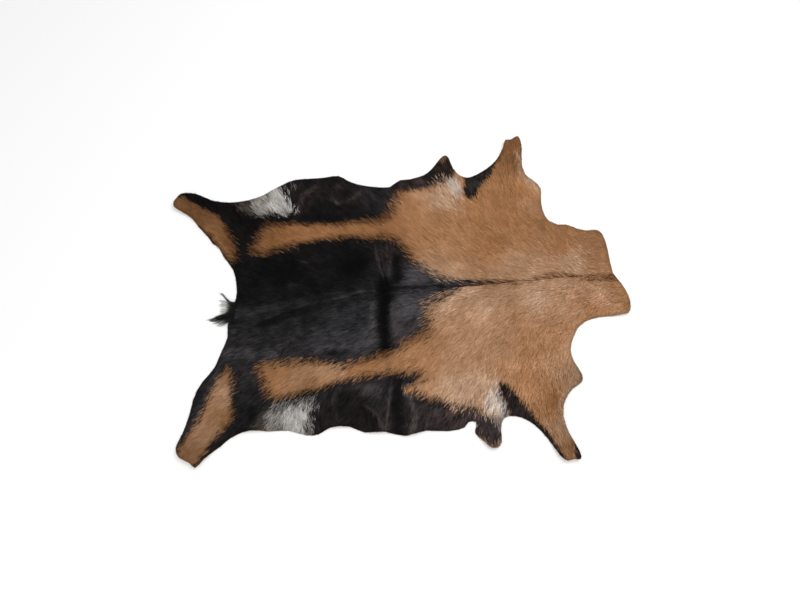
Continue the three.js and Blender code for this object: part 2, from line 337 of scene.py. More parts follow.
# Patches of pale hair: how softly each ends, the hairs' place on the colour scale, their brightness and
# how many of the hairs are pale
PALE_PATCHES = table(
    "patch soft family light share at",
    (
        "left belly", 22, 0.96, 0.79, 0.95,
        [(-308, 296), (-288, 310), (-277, 292), (-268, 270), (-262, 256), (-254, 245), (-248, 230),
         (-262, 227), (-280, 225), (-298, 229), (-308, 238), (-312, 254), (-311, 272)],
    ),
    (
        "left belly, rear", 26, 0.93, 0.54, 0.8,
        [(-350, 280), (-304, 296), (-300, 226), (-330, 224), (-348, 236)],
    ),
    ("left groin", 34, 0.88, 0.20, 0.55, [(-388, 274), (-340, 280), (-336, 226), (-366, 238)]),
    (
        "left belly, front wisp", 6, 0.95, 0.45, 0.8,
        [(-274, 296), (-258, 278), (-246, 270), (-250, 278), (-266, 296)],
    ),
    ("left belly, upper wisp", 5, 0.95, 0.3, 0.7, [(-254, 300), (-243, 294), (-241, 297), (-252, 303)]),
    (
        "right belly", 16, 0.96, 0.79, 0.94,
        [(-284, -305), (-290, -264), (-288, -246), (-272, -238), (-254, -231), (-238, -231), (-226, -240),
         (-222, -250), (-230, -258), (-238, -266), (-242, -305)],
    ),
    (
        "right belly, over", 14, 0.94, 0.42, 0.55,
        [(-312, -232), (-290, -224), (-262, -220), (-240, -218), (-220, -220), (-212, -246), (-232, -240),
         (-262, -240), (-292, -244)],
    ),
    (
        "right belly, front strands", 14, 0.95, 0.52, 0.65,
        [(-240, -256), (-222, -262), (-224, -276), (-231, -305), (-242, -305)],
    ),
    (
        "right belly, rear", 22, 0.93, 0.48, 0.84,
        [(-322, -300), (-324, -248), (-308, -236), (-284, -234), (-280, -305)],
    ),
    ("right groin", 24, 0.88, 0.12, 0.55, [(-348, -290), (-344, -252), (-320, -236), (-318, -295)]),
    (
        "left armpit", 24, 0.87, 0.84, 0.92,
        [(110, 280), (124, 285), (139, 289), (149, 268), (147, 244), (135, 230), (118, 234), (106, 258)],
    ),
    (
        "behind the left armpit", 54, 0.80, 0.98, 0.6,
        [(112, 282), (150, 269), (150, 236), (132, 206), (105, 198), (76, 214), (72, 248), (90, 268)],
    ),
    (
        "right armpit", 34, 0.89, 1.06, 0.95,
        [(118, -272), (125, -250), (135, -228), (147, -216), (154, -229), (157, -252), (161, -276),
         (158, -298), (142, -300), (130, -288)],
    ),
    (
        "right armpit, by the black", 10, 0.94, 0.86, 0.62,
        [(148, -243), (160, -243), (165, -262), (170, -282), (175, -306), (160, -308), (155, -290),
         (150, -275), (146, -258)],
    ),
    (
        "right armpit, towards the flap", 8, 0.92, 0.42, 0.75,
        [(138, -294), (156, -290), (153, -306), (148, -326), (138, -312)],
    ),
    (
        "behind the right armpit", 50, 0.77, 0.94, 0.70,
        [(58, -262), (60, -240), (86, -216), (126, -192), (155, -200), (160, -237), (152, -300),
         (124, -280), (98, -266)],
    ),
    (
        "right foreleg's front edge", 9, 0.80, 0.78, 0.5,
        [(290, -372), (286, -345), (284, -320), (282, -300), (286, -280), (298, -262), (310, -248),
         (303, -243), (288, -258), (280, -278), (277, -300), (277, -330), (282, -352)],
    ),
    (
        "left foreleg's front edge", 14, 0.76, 0.82, 0.55,
        [(288, 350), (297, 352), (301, 325), (299, 305), (306, 285), (320, 262), (318, 240), (300, 244),
         (290, 275), (286, 310)],
    ),
    ("left shoulder's fleck", 3, 0.88, 1.1, 0.6, [(282, 150), (283, 156), (285, 156), (284, 150)]),
    ("left flap's tip", 14, 0.66, 0.55, 0.7, [(92, 336), (112, 334), (124, 346), (118, 356), (98, 352)]),
    (
        "right flap's tip", 8, 0.74, 0.80, 0.85,
        [(98, -326), (112, -336), (124, -346), (137, -349), (150, -343), (152, -370), (98, -370)],
    ),
)
# Tones by place: where the light hair is on the colour scale and its brightness, then the dark hair's.
# Both brightnesses hold painted light. The tan's is painted darker where the hair lies turned from the
# light, as on the left side and at the neck's rims. The dark hair's is mostly a painted blue-grey sheen,
# strong on the right back and the black wedge, with painted shade at the crease. The dark hair's place on
# the scale turns towards the blue-black of that painted sheen where it is strong.
TONES = table(
    "part at tan light black gloss",
    ("neck, left", (410, 60), 0.63, 0.90, 0.42, 1.15),
    ("neck, right", (410, -55), 0.71, 1.06, 0.42, 1.15),
    ("neck, left of the spine", (370, 42), 0.73, 0.98, 0.42, 1.15),
    ("neck, left, low", (345, 126), 0.57, 0.80, 0.40, 1.00),
    ("neck's end, left", (438, 75), 0.58, 0.74, 0.40, 1.00),
    ("neck's end, right", (456, -45), 0.62, 0.80, 0.40, 1.00),
    ("neck, right side", (400, -90), 0.61, 0.92, 0.40, 1.00),
    ("neck's edge", (462, 40), 0.60, 0.75, 0.40, 1.00),
    ("nape, left", (250, 26), 0.71, 0.96, 0.38, 1.00),
    ("neck, by the spine", (340, 30), 0.70, 0.98, 0.42, 1.15),
    ("nape, right", (250, -30), 0.73, 1.00, 0.38, 1.00),
    ("neck, right of the spine", (350, -28), 0.69, 1.04, 0.42, 1.15),
    ("shoulder, left", (255, 150), 0.55, 0.93, 0.20, 1.00),
    ("shoulder, left, low", (290, 230), 0.57, 0.96, 0.20, 1.00),
    ("shoulder, right", (245, -140), 0.62, 0.99, 0.20, 1.00),
    ("shoulder, right, low", (270, -200), 0.65, 1.06, 0.20, 1.00),
    ("ribs, left", (90, 150), 0.60, 0.95, 0.24, 1.00),
    ("ribs, right", (90, -120), 0.67, 0.95, 0.24, 1.00),
    ("ribs, right, low", (60, -238), 0.72, 1.02, 0.24, 1.00),
    ("before the right flank", (-8, -224), 0.66, 1.02, 0.16, 1.40),
    ("ribs, left, at the crease", (14, 226), 0.62, 0.98, 0.16, 0.60),
    ("withers, right", (140, -70), 0.71, 1.05, 0.30, 1.00),
    ("over the right armpit", (212, -240), 0.62, 1.10, 0.20, 1.00),
    ("withers", (205, 0), 0.68, 0.84, 0.36, 1.00),
    ("withers, left, low", (190, 98), 0.56, 0.94, 0.36, 1.00),
    ("nape, left, low", (350, 82), 0.58, 0.92, 0.40, 1.00),
    ("nape, right, low", (205, -88), 0.64, 0.86, 0.36, 1.00),
    ("throat, right", (322, -228), 0.69, 0.66, 0.36, 1.00),
    ("throat, left", (324, 196), 0.63, 0.78, 0.36, 1.00),
    ("foreleg, left, front", (320, 245), 0.70, 1.00, 0.20, 1.00),
    ("over the left armpit", (190, 218), 0.57, 1.04, 0.20, 1.00),
    ("ribs, left, low", (45, 246), 0.66, 1.02, 0.20, 1.20),
    ("left stripe, towards the rear", (-270, 160), 0.49, 0.94, 0.20, 0.40),
    ("right stripe, middle", (-192, -166), 0.69, 0.94, 0.14, 0.90),
    ("right thigh, front", (-396, -244), 0.60, 0.64, 0.16, 0.80),
    ("left belly, rim", (36, 284), 0.60, 0.94, 0.22, 1.70),
    ("by the spine, at the crease", (-46, 22), 0.60, 0.90, 0.10, 0.60),
    ("right back, by the stripe", (-112, -118), 0.58, 0.86, 0.09, 2.30),
    ("right loin, by the stripe", (-290, -116), 0.60, 0.86, 0.10, 1.60),
    ("right croup, low", (-364, -150), 0.58, 0.84, 0.13, 1.30),
    ("tail's root, right", (-404, -46), 0.50, 0.80, 0.09, 1.25),
    ("foreleg, left", (284, 330), 0.50, 0.68, 0.18, 0.80),
    ("left armpit", (180, 270), 0.58, 0.95, 0.18, 1.05),
    ("foreleg, right, top", (262, -280), 0.58, 0.93, 0.20, 0.90),
    ("foreleg, right", (276, -335), 0.68, 0.84, 0.20, 0.90),
    ("forefoot, right", (285, -380), 0.60, 0.66, 0.20, 0.80),
    ("black wedge, left", (20, 34), 0.68, 0.92, 0.07, 3.30),
    ("black wedge, right", (0, -45), 0.72, 0.98, 0.06, 3.85),
    ("wedge, left, rear", (-22, 92), 0.58, 0.95, 0.24, 0.65),
    ("wedge, left, at the border", (45, 46), 0.72, 1.00, 0.08, 3.40),
    ("wedge, right, rear", (-18, -92), 0.60, 1.00, 0.16, 3.00),
    ("wedge's tip", (85, 8), 0.74, 0.96, 0.09, 1.70),
    ("left stripe", (-180, 170), 0.52, 0.92, 0.18, 0.40),
    ("left stripe, rear", (-310, 160), 0.46, 0.74, 0.18, 0.36),
    ("left stripe, at the crease", (-42, 168), 0.52, 0.84, 0.14, 0.50),
    ("right stripe", (-240, -175), 0.62, 0.74, 0.14, 0.90),
    ("right stripe, front", (-110, -165), 0.58, 0.95, 0.14, 0.90),
    ("left back", (-120, 80), 0.48, 0.80, 0.13, 0.10),
    ("left loin", (-280, 80), 0.48, 0.80, 0.15, 0.12),
    ("left of the spine", (-200, 22), 0.48, 0.80, 0.10, 0.24),
    ("right of the spine", (-250, -30), 0.48, 0.80, 0.06, 0.62),
    ("right back", (-130, -60), 0.55, 0.84, 0.05, 1.05),
    ("right back, low", (-190, -110), 0.55, 0.84, 0.05, 1.52),
    ("right loin", (-330, -70), 0.55, 0.84, 0.07, 0.72),
    ("left croup", (-370, 40), 0.50, 0.80, 0.10, 0.24),
    ("left flank, over", (-170, 275), 0.52, 0.80, 0.20, 0.70),
    ("left flank, under", (-160, 222), 0.52, 0.80, 0.18, 0.36),
    ("left flank, front", (-50, 262), 0.56, 0.84, 0.12, 0.95),
    ("right flank", (-150, -250), 0.56, 0.84, 0.20, 0.54),
    ("right belly", (30, -285), 0.60, 0.95, 0.22, 1.60),
    ("left belly, front", (88, 288), 0.60, 0.94, 0.22, 0.45),
    ("left groin", (-350, 215), 0.50, 0.80, 0.22, 0.15),
    ("right groin", (-345, -215), 0.52, 0.84, 0.12, 0.95),
    ("left thigh", (-412, 190), 0.52, 0.63, 0.20, 0.38),
    ("left shank", (-465, 255), 0.48, 0.50, 0.20, 0.16),
    ("left hock", (-510, 285), 0.54, 0.47, 0.20, 0.14),
    ("right thigh", (-405, -200), 0.68, 0.77, 0.16, 0.80),
    ("right shank", (-437, -262), 0.66, 0.73, 0.16, 0.80),
    ("right hock", (-480, -320), 0.64, 0.57, 0.18, 0.65),
    ("right flap", (125, -330), 0.60, 0.80, 0.22, 2.20),
    ("left flap", (100, 318), 0.60, 0.80, 0.24, 0.62),
)
TONE_SHARPNESS = 3.6

# The border between tan and black hair: how far it wanders, how its clumps keep together, and its
# browner, duller hairs
EDGE_WANDER = 2.2
EDGE_CLUMPING = 0.14
EDGE_BROWN = 0.36
EDGE_LIGHT = 0.55
EDGE_TAN_BROWNER = 0.10
EDGE_TAN_DULLER = 0.15
# Chance in the hairs' place on the colour scale
HAIR_FAMILY = 0.045
FAMILY_DRIFTS = [{"size": 42, "seed": 11, "by": 0.022}, {"size": 16, "seed": 13, "by": 0.014}]
PALER_WITH_LIGHT = 0.18  # how far a tan hair that is brighter than those round it is also a paler one
# Pale patches: how ragged they are, their hairs' chance, and the shine of the black hairs left among them
PATCH_RAGGED = 3.0
PATCH_CLUMPING = 2.0
PATCH_FAMILY = 0.04
PATCH_LIGHT = {"least": 0.8, "hair": 0.4, "clump": 0.22}
PATCH_BLACK_SHINE = 1.5
# Chance in brightness, over the coat and from hair to hair: more in the black hair, which is glossier.
# There it also stands for painted sheen in mottles and streaks.
DRIFT_LIGHT = {"dull": 0.30, "other": 0.08, "fine": 0.7}
CLUMP_LIGHT = {"dull": 0.70, "other": 0.12}
HAIR_LIGHT = {"dull": 1.0, "other": 0.26}
LEAST_LIGHT = 0.2
GUARD_HAIRS = {"share": 0.035, "bright": 1.15, "dark": 0.85}

# Mostly painted sheen along strands and painted shade in folds, by half their width, multiplied into the
# hair's brightness. The hair in them follows the line, from its first place to its last, by the share
# steered. gain brightens the dark hair with painted sheen, or darkens it with painted shade below 0.
STREAKS = table(
    "half gain steer at",
    (4.5, 1.5, 0.9, [(-77, 7), (-98, 10), (-122, 8), (-150, 0), (-205, -7)]),
    (3.5, 0.7, 0.9, [(-205, -5), (-255, -16), (-325, -37)]),
    (11, 0.55, 0.8, [(-150, 10), (-195, 6), (-260, -3), (-350, -16)]),
    (13, -0.6, 0.6, [(-225, -22), (-270, -31), (-325, -46)]),
    (8, -0.4, 0.5, [(-105, -8), (-130, -12), (-160, -22)]),
    (3, 1.9, 1.0, [(-50, 14), (-63, 68), (-69, 116)]),
    (3, 0.9, 1.0, [(-52, 12), (-54, 76), (-55, 134)]),
    (3, 1.2, 1.0, [(-50, 12), (-46, 76), (-41, 130)]),
    (4, 0.9, 0.8, [(-48, 14), (-38, 72), (-28, 112)]),
    (6, 4.0, 0.0, [(-268, 36), (-255, 41)]),
    (4, 3.0, 0.0, [(-235, 97), (-227, 94)]),
    (4, 2.4, 0.0, [(-284, 106), (-276, 103)]),
    (4, 1.2, 1.0, [(12, 24), (-28, 25), (-41, 31), (-45, 51), (-40, 70)]),
    (14, -0.85, 0.0, [(-24, 84), (-25, 30)]),
    (24, -1.0, 0.0, [(-58, 26), (-61, -16), (-67, -75), (-66, -132)]),
    (13, -0.5, 0.0, [(-66, -128), (-62, -165), (-60, -200)]),
    (14, -0.4, 0.0, [(-52, 128), (-46, 165), (-42, 200)]),
    (4.5, 1.5, 0.3, [(-43, -20), (-46, -60), (-42, -90)]),
    (8, 0.9, 0.3, [(-85, -19), (-90, -73)]),
    (6, -0.75, 0.2, [(72, 8), (1, 9), (-40, 11)]),
    (7, 0.3, 0.2, [(60, 27), (0, 38)]),
    (12, 0.5, 0.3, [(-60, -112), (-130, -112), (-220, -118)]),
    (20, 1.3, 0.0, [(-352, -112), (-392, -108)]),
    (9, 1.5, 1.0, [(-196, 290), (-223, 270), (-236, 246), (-238, 222)]),
    (7, 0.4, 1.0, [(-178, 276), (-206, 258), (-218, 226)]),
    (7, 3.0, 0.0, [(-156, 250), (-149, 243)]),
    (6, 1.5, 0.8, [(-149, 240), (-126, 242), (-109, 250), (-95, 264)]),
    (8, 1.6, 0.0, [(-150, 286), (-138, 283)]),
    (11, -0.4, 0.5, [(-125, 262), (-112, 285)]),
    (8, 0.9, 1.0, [(-165, -200), (-180, -222), (-184, -239), (-179, -263)]),
    (7, -0.2, 1.0, [(-186, -212), (-199, -238), (-200, -266)]),
    (17, 1.8, 0.0, [(-113, -216), (-93, -218)]),
    (6, 2.0, 0.9, [(-120, -247), (-108, -254), (-98, -264), (-90, -283), (-84, -308)]),
    (8, -0.4, 0.5, [(-110, -264), (-104, -284), (-104, -305)]),
    (3.4, 3.0, 0.6, [(-58, -194), (-67, -233), (-75, -270), (-81, -308)]),
    (18, -0.75, 0.0, [(-50, -204), (-53, -250), (-56, -306)]),
    (8, 1.9, 0.5, [(-38, -212), (-26, -237), (-20, -263), (-22, -288), (-30, -318)]),
    (13, -0.8, 0.0, [(-348, -232), (-348, -256)]),
    (11, 0.4, 0.0, [(-405, -185), (-426, -216), (-452, -256)]),
    (9, 0.6, 0.0, [(-428, 172), (-408, 140), (-396, 122)]),
    (9, -0.6, 0.0, [(268, -262), (270, -300), (276, -345), (286, -374)]),
    (8, -0.5, 0.0, [(279, 345), (278, 300), (272, 262)]),
    (13, -0.5, 0.0, [(-185, -127), (-168, -127), (-148, -126)]),
    (15, 0.7, 0.0, [(-296, -114), (-330, -118), (-348, -130)]),
    (13, 0.5, 0.0, [(5, -258), (60, -277), (112, -292)]),
    (11, 0.5, 0.0, [(-162, -206), (-130, -200), (-92, -198)]),
    (8, -1.0, 0.0, [(-474, 208), (-442, 170), (-416, 132), (-400, 112)]),
    (10, -0.6, 0.0, [(330, -228), (344, -214), (346, -196)]),
    (12, -0.4, 0.0, [(-232, 210), (-150, 204), (-92, 206)]),
    (10, 1.4, 0.0, [(-416, -142), (-438, -188), (-468, -250), (-508, -306)]),
)
TAN_SHINE = 0.35  # the tan hair shows this share of it
SHINE_EDGE = 1.6  # how sharply a strand's shine ends at its half width
LINE_REACH = 1.5  # a line steers and darkens the hair up to this many half widths away

# The coat's pieces: how far the black back reaches to each side, and where the neck and the shoulders begin
BACK_HALF = 116
NECK_FROM = 262
SHOULDERS_FROM = -60
COAT_PIECES = [
    {"name": "coat_black_back", "dark": True, "where": lambda x, y: np.abs(y) < BACK_HALF},
    {"name": "coat_black_left", "dark": True, "where": lambda x, y: y >= BACK_HALF},
    {"name": "coat_black_right", "dark": True, "where": lambda x, y: y <= -BACK_HALF},
    {"name": "coat_tan_neck", "dark": False, "where": lambda x, y: x > NECK_FROM},
    {"name": "coat_tan_left", "dark": False, "where": lambda x, y: on_shoulders(x) & (y >= 0)},
    {"name": "coat_tan_right", "dark": False, "where": lambda x, y: on_shoulders(x) & (y < 0)},
    {"name": "coat_stripes_and_patches", "dark": False, "where": lambda x, y: x <= SHOULDERS_FROM},
]

# The tail's locks, from one place along its root strip to another: how long they are, how far their tips
# sweep sideways, how many of their hairs are pale and how far along these turn pale
TAIL_LOCKS = table(
    "group locks from to length sweep pale pales_at",
    ("top strand", 2, 20, 19, (28, 23), (26, 22), 0.3, 0.4),
    ("fan", 13, 20, 1, (25, 20), (11, -3), 0.85, 0.22),
    ("fan, lower", 6, 1, -4, (22, 32), (-4, -9), 0.8, 0.3),
    ("long locks", 5, -4, -10, (46, 38), (-11, -12), 0.15, 0.6),
    ("middle locks", 4, -9, -16, (40, 32), (-10, -9), 0.15, 0.6),
    ("short locks", 5, -14, -21, (28, 20), (-9, -6), 0.1, 0.6),
    ("lowest fringe", 3, -21, -23, (33, 22), (-11, -10), 0.9, 0.45),
)
TAIL_HAIRS = 20  # in a lock
TAIL_HAIR_WIDTH = 0.6
TAIL_HAIR_WIDTHS = (0.7, 1.3)
TAIL_STEPS = np.linspace(0, 1, 6)
TAIL_ROOT_BACK = 16.0  # the tail's hair begins this far ahead of the root strip's rear edge
TAIL_HEIGHT = 6.5
TAIL_ARCH = {"quick": 1.1, "start": 0.12, "round": 0.8}
TAIL_BEND = 1.4
TAIL_LEAST_HEIGHT = 0.3
TAIL_ON_COAT = 0.7  # the tail's roots lie this high in the coat, as a share of its depth
TAIL_STEP_DOWN = 6  # the length over which the tail comes down off the rim
# Chance in the tail: for a lock's root, length, sweep and height, then for a hair's
LOCK_CHANCE = {"root": 0.8, "length": (0.92, 1.06), "sweep": 1.0, "height": (0.35, 1.0)}
TAIL_CHANCE = {"root": 1.5, "tip": 0.7, "spread": 0.2, "wave": 0.8}
TAIL_CHANCE |= {"length": (0.72, 1.05), "height": (0.2, 0.9)}
TAIL_TIP_LIGHT = {"pale": (0.7, 1.3), "black": (0.3, 0.9)}
TAIL_ROOT_LIGHT = {"pale": 0.01, "black": 0.25}
TAIL_PALES_OVER = 0.45

LIGHTS = [
    {"name": "key", "at": (900, 500, 1700), "size": 1500, "watts": 14},
    {"name": "fill", "at": (-900, -900, 1500), "size": 1600, "watts": 5},
]
SKY = 0.78
FLOOR_SIZE = 12000
FLOOR_DROP = 0.3  # the floor lies just under the skin
FLOOR_COLOUR = (0.97, 0.97, 0.97, 1)
SUEDE_COLOURS = [(0.56, 0.46, 0.35, 1), (0.70, 0.61, 0.49, 1)]


def smooth(t):
    """0 to 1 with soft ends, for a share that runs from 0 to 1."""
    t = np.clip(t, 0.0, 1.0)
    return t * t * (3 - 2 * t)


def unit(vectors):
    return vectors / np.maximum(np.linalg.norm(vectors, axis=-1, keepdims=True), 1e-12)


def from_line(x, y, points):
    """How far each place is from a line through these points, and its share of the way along the line."""
    best = np.full(np.shape(x), np.inf)
    along = np.zeros(np.shape(x))
    for i, (a, b) in enumerate(zip(points[:-1], points[1:])):
        dx, dy = b[0] - a[0], b[1] - a[1]
        share = np.clip(((x - a[0]) * dx + (y - a[1]) * dy) / (dx * dx + dy * dy), 0, 1)
        away = np.hypot(x - a[0] - share * dx, y - a[1] - share * dy)
        along = np.where(away < best, (i + share) / (len(points) - 1), along)
        best = np.minimum(away, best)
    return best, along


def inside(x, y, outline):
    """The distance of each place to a closed outline's edge, above 0 inside it and below 0 outside."""
    nearest, _ = from_line(x, y, [*outline, outline[0]])
    crossings = np.zeros(np.shape(x), bool)
    for a, b in zip(outline, [*outline[1:], outline[0]]):
        if a[1] == b[1]:
            continue
        spans = (a[1] > y) != (b[1] > y)
        crossings ^= spans & (x < a[0] + (y - a[1]) * (b[0] - a[0]) / (b[1] - a[1]))
    return np.where(crossings, nearest, -nearest)


def drift(x, y, size, seed):
    """Smooth chance from -1 to 1 that changes over about this size."""
    chance = np.random.default_rng(seed).uniform(-1, 1, (DRIFT_GRID, DRIFT_GRID))
    u, v = x / size + DRIFT_START, y / size + DRIFT_START
    i, j = np.floor(u).astype(int), np.floor(v).astype(int)
    s, t = smooth(u - i), smooth(v - j)
    row, after, column, beside = (k % DRIFT_GRID for k in (i, i + 1, j, j + 1))
    low = chance[row, column] * (1 - s) + chance[after, column] * s
    high = chance[row, beside] * (1 - s) + chance[after, beside] * s
    return low * (1 - t) + high * t


def by_nearness(x, y, rows, values, sharpness):
    """Values that belong to places, mixed at each point by how near it is to them."""
    total = np.zeros(np.shape(x) + (values.shape[1],))
    weights = np.zeros(np.shape(x))
    for row, value in zip(rows, values):
        away = np.hypot(x - row["at"][0], y - row["at"][1]) + EVEN_NEAR
        weight = away**-sharpness
        total += weight[..., None] * value
        weights += weight
    return total / weights[..., None]


class Field:
    """A number over the skin, kept on a square grid and read between its points."""

    def __init__(self, low, high, cell):
        self.low, self.cell = low, cell
        self.shape = tuple(int(math.ceil((h - l) / cell)) + 1 for l, h in zip(low, high))
        self.values = np.zeros(self.shape)

    def places(self):
        xs = self.low[0] + self.cell * np.arange(self.shape[0])
        ys = self.low[1] + self.cell * np.arange(self.shape[1])
        return np.meshgrid(xs, ys, indexing="ij")

    def at(self, x, y):
        u = np.clip((x - self.low[0]) / self.cell, 0, self.shape[0] - 1.001)
        v = np.clip((y - self.low[1]) / self.cell, 0, self.shape[1] - 1.001)
        i, j = u.astype(int), v.astype(int)
        s, t = u - i, v - j
        low = self.values[i, j] * (1 - s) + self.values[i + 1, j] * s
        high = self.values[i, j + 1] * (1 - s) + self.values[i + 1, j + 1] * s
        return low * (1 - t) + high * t


def neighbours_mean(values, known):
    """The mean of the known values on and round each grid point, and how many there are."""
    padded = np.pad(np.where(known, values, 0.0), 1)
    counts = np.pad(known.astype(float), 1)
    shifts = [(i, j) for i in range(3) for j in range(3)]
    wide, high = values.shape
    total = sum(padded[i : i + wide, j : j + high] for i, j in shifts)
    count = sum(counts[i : i + wide, j : j + high] for i, j in shifts)
    return total / np.maximum(count, 1), count


def spread_and_blur(values, rounds):
    """Fills the unknown points outward from the known ones, then softens the whole."""
    known = np.isfinite(values)
    values = np.where(known, values, 0.0)
    while not known.all():
        mean, count = neighbours_mean(values, known)
        fresh = ~known & (count > 0)
        values = np.where(fresh, mean, values)
        known = known | fresh
    for _ in range(rounds):
        values, _ = neighbours_mean(values, known)
    return values


def solid_mesh(name):
    """A solid's corners, merged by place, in millimetres, and its triangles."""
    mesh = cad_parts[name].data
    mesh.calc_loop_triangles()
    corners = np.empty(len(mesh.vertices) * 3)
    mesh.vertices.foreach_get("co", corners)
    triangles = np.empty(len(mesh.loop_triangles) * 3, np.int32)
    mesh.loop_triangles.foreach_get("vertices", triangles)
    rounded = np.round(corners.reshape(-1, 3) / MM, 2)
    merged, which = np.unique(rounded, axis=0, return_inverse=True)
    return merged, which.reshape(-1)[triangles].reshape(-1, 3)


def heights_of(corners, triangles, low, high):
    """The skin's underside and the top of its coat, as the solid has them."""
    tree = BVHTree.FromPolygons(corners.tolist(), triangles.tolist())
    under, over = Field(low, high, GROUND_CELL), Field(low, high, GROUND_CELL)
    xs, ys = under.places()
    for field, start, way in ((under, RAYS_FROM["under"], 1.0), (over, RAYS_FROM["over"], -1.0)):
        found = np.full(field.shape, np.nan)
        for i, j in np.ndindex(field.shape):
            hit = tree.ray_cast(Vector((xs[i, j], ys[i, j], start)), Vector((0, 0, way)))[0]
            if hit is not None:
                found[i, j] = hit.z
        field.values = spread_and_blur(found, GROUND_BLUR)
    return under, over


def rim_of(corners, triangles):
    """The solid's outline: the edge round all the faces that look up."""
    a, b, c = (corners[triangles[:, i]] for i in range(3))
    upward = triangles[unit(np.cross(b - a, c - a))[:, 2] > UPWARD]
    edges = {(int(t[i]), int(t[(i + 1) % 3])) for t in upward for i in range(3)}
    onward = {start: end for start, end in edges if (end, start) not in edges}
    loops = []
    while onward:
        start, at = next(iter(onward.items()))
        loop = [start]
        while at != start and at in onward:
            loop.append(at)
            at = onward.pop(at)
        onward.pop(start, None)
        loops.append(loop)
    longest = max(loops, key=len)
    return [tuple(corners[i, :2]) for i in longest]


def in_tail_seat(x, y):
    """Whether a place lies in the seat that the solid hide has for the tail's root."""
    dx, dy = x - TAIL_ROOT["at"][0], y - TAIL_ROOT["at"][1]
    along = dx * math.cos(TAIL_ROOT["turn"]) + dy * math.sin(TAIL_ROOT["turn"])
    across = dy * math.cos(TAIL_ROOT["turn"]) - dx * math.sin(TAIL_ROOT["turn"])
    within = abs(along) < TAIL_ROOT["width"] / 2 + TAIL_SEAT_MARGIN
    return within and abs(across) < TAIL_ROOT["length"] / 2 + TAIL_SEAT_MARGIN


class Hide:
    """The shape that the skin and every hair follow."""

    def __init__(self):
        corners, triangles = solid_mesh("hide")
        self.low = corners.min(0)[:2] - FIELD_MARGIN
        self.high = corners.max(0)[:2] + FIELD_MARGIN
        self.under, self.over = heights_of(corners, triangles, self.low, self.high)
        self.rim = [p for p in rim_of(corners, triangles) if not in_tail_seat(*p)]
        self.from_rim = Field(self.low, self.high, RIM_CELL)
        self.from_rim.values = inside(*self.from_rim.places(), self.rim)

    def skin_top(self, x, y):
        return self.under.at(x, y) + SKIN_THICK

    def coat_depth(self, x, y):
        return np.maximum(self.over.at(x, y) - self.under.at(x, y) - SKIN_IN_SOLID, LEAST_COAT)


def flow_at(x, y):
    """The direction in which the hair lies at each place."""
    side = np.where(y < 0, -1.0, 1.0)
    turns = np.radians([row["turn"] for row in FLOW])
    ways = np.stack([-np.cos(turns), np.sin(turns)], 1)
    way = by_nearness(x, np.abs(y), FLOW, ways, FLOW_SHARPNESS)
    way[..., 1] *= side
    for row in STREAKS:
        away, along = from_line(x, y, row["at"])
        share = row["steer"] * smooth(LINE_REACH - away / row["half"])[..., None]
        points = np.array(row["at"], float)
        steps = unit(np.diff(points, axis=0))
        middles = (np.arange(len(steps)) + 0.5) / len(steps)
        own = np.stack([np.interp(along, middles, steps[:, k]) for k in (0, 1)], -1)
        way = way * (1 - share) + own * share
    return unit(way)


def clump_of(x, y, size, seed):
    """The middle of each root's clump, and three chances from -1 to 1 that the clump shares."""
    cells = np.random.default_rng(seed).uniform(-1, 1, (*CELL_GRID, 5))
    i, j = np.floor(x / size).astype(int), np.floor(y / size).astype(int)
    nearest = np.full(x.shape, np.inf)
    found = np.zeros((len(x), 5))
    for di in (-1, 0, 1):
        for dj in (-1, 0, 1):
            chance = cells[(i + di) % CELL_GRID[0], (j + dj) % CELL_GRID[1]]
            cx = (i + di + 0.5 + CLUMP_SCATTER * chance[:, 0]) * size
            cy = (j + dj + 0.5 + CLUMP_SCATTER * chance[:, 1]) * size
            away = np.hypot(cx - x, cy - y)
            closer = away < nearest
            nearest = np.where(closer, away, nearest)
            fresh = np.concatenate([np.stack([cx, cy], 1), chance[:, 2:]], 1)
            found = np.where(closer[:, None], fresh, found)
    return found[:, :2], found[:, 2:]


def turned(ways, degrees):
    angle = np.radians(degrees)
    c, s = np.cos(angle), np.sin(angle)
    return np.stack([ways[:, 0] * c - ways[:, 1] * s, ways[:, 0] * s + ways[:, 1] * c], 1)


def marks_at(x, y, marks):
    """How far each place lies in one of these marks, from 0 to the mark's share."""
    found = np.zeros(np.shape(x))
    for mark in marks:
        found = np.maximum(found, mark["share"] * smooth(0.5 + inside(x, y, mark["at"]) / mark["soft"]))
    return found


def border_at(x, y, column):
    values = np.array([[row[column]] for row in BORDERS])
    return by_nearness(x, y, BORDERS, values, BORDER_SHARPNESS)[..., 0]


def darkness(x, y):
    """How many of the hairs are black at a place as the camera sees it, from 0 to 1."""
    wide = border_at(x, y, "wide")
    tan = inside(x, y, [p for row in TAN_COAT for p in row["at"]])
    for band in LEG_BANDS:
        tan = np.maximum(tan, inside(x, y, band["at"]))
    tan = tan + EDGE_WANDER * drift(x, y, size=13, seed=41)
    dark = np.clip(0.5 - (tan - TAN_RETREAT) / wide, 0, 1)
    dark = np.maximum(dark, marks_at(x, y, BLACK_MARKS))
    away, along = from_line(x, y, [row["at"] for row in SPINE_LINE])
    steps = np.linspace(0, 1, len(SPINE_LINE))
    width = np.interp(along, steps, [row["half_width"] for row in SPINE_LINE])
    depth = np.interp(along, steps, [row["dark"] for row in SPINE_LINE])
    return np.maximum(dark, depth * smooth(LINE_REACH - away / width))


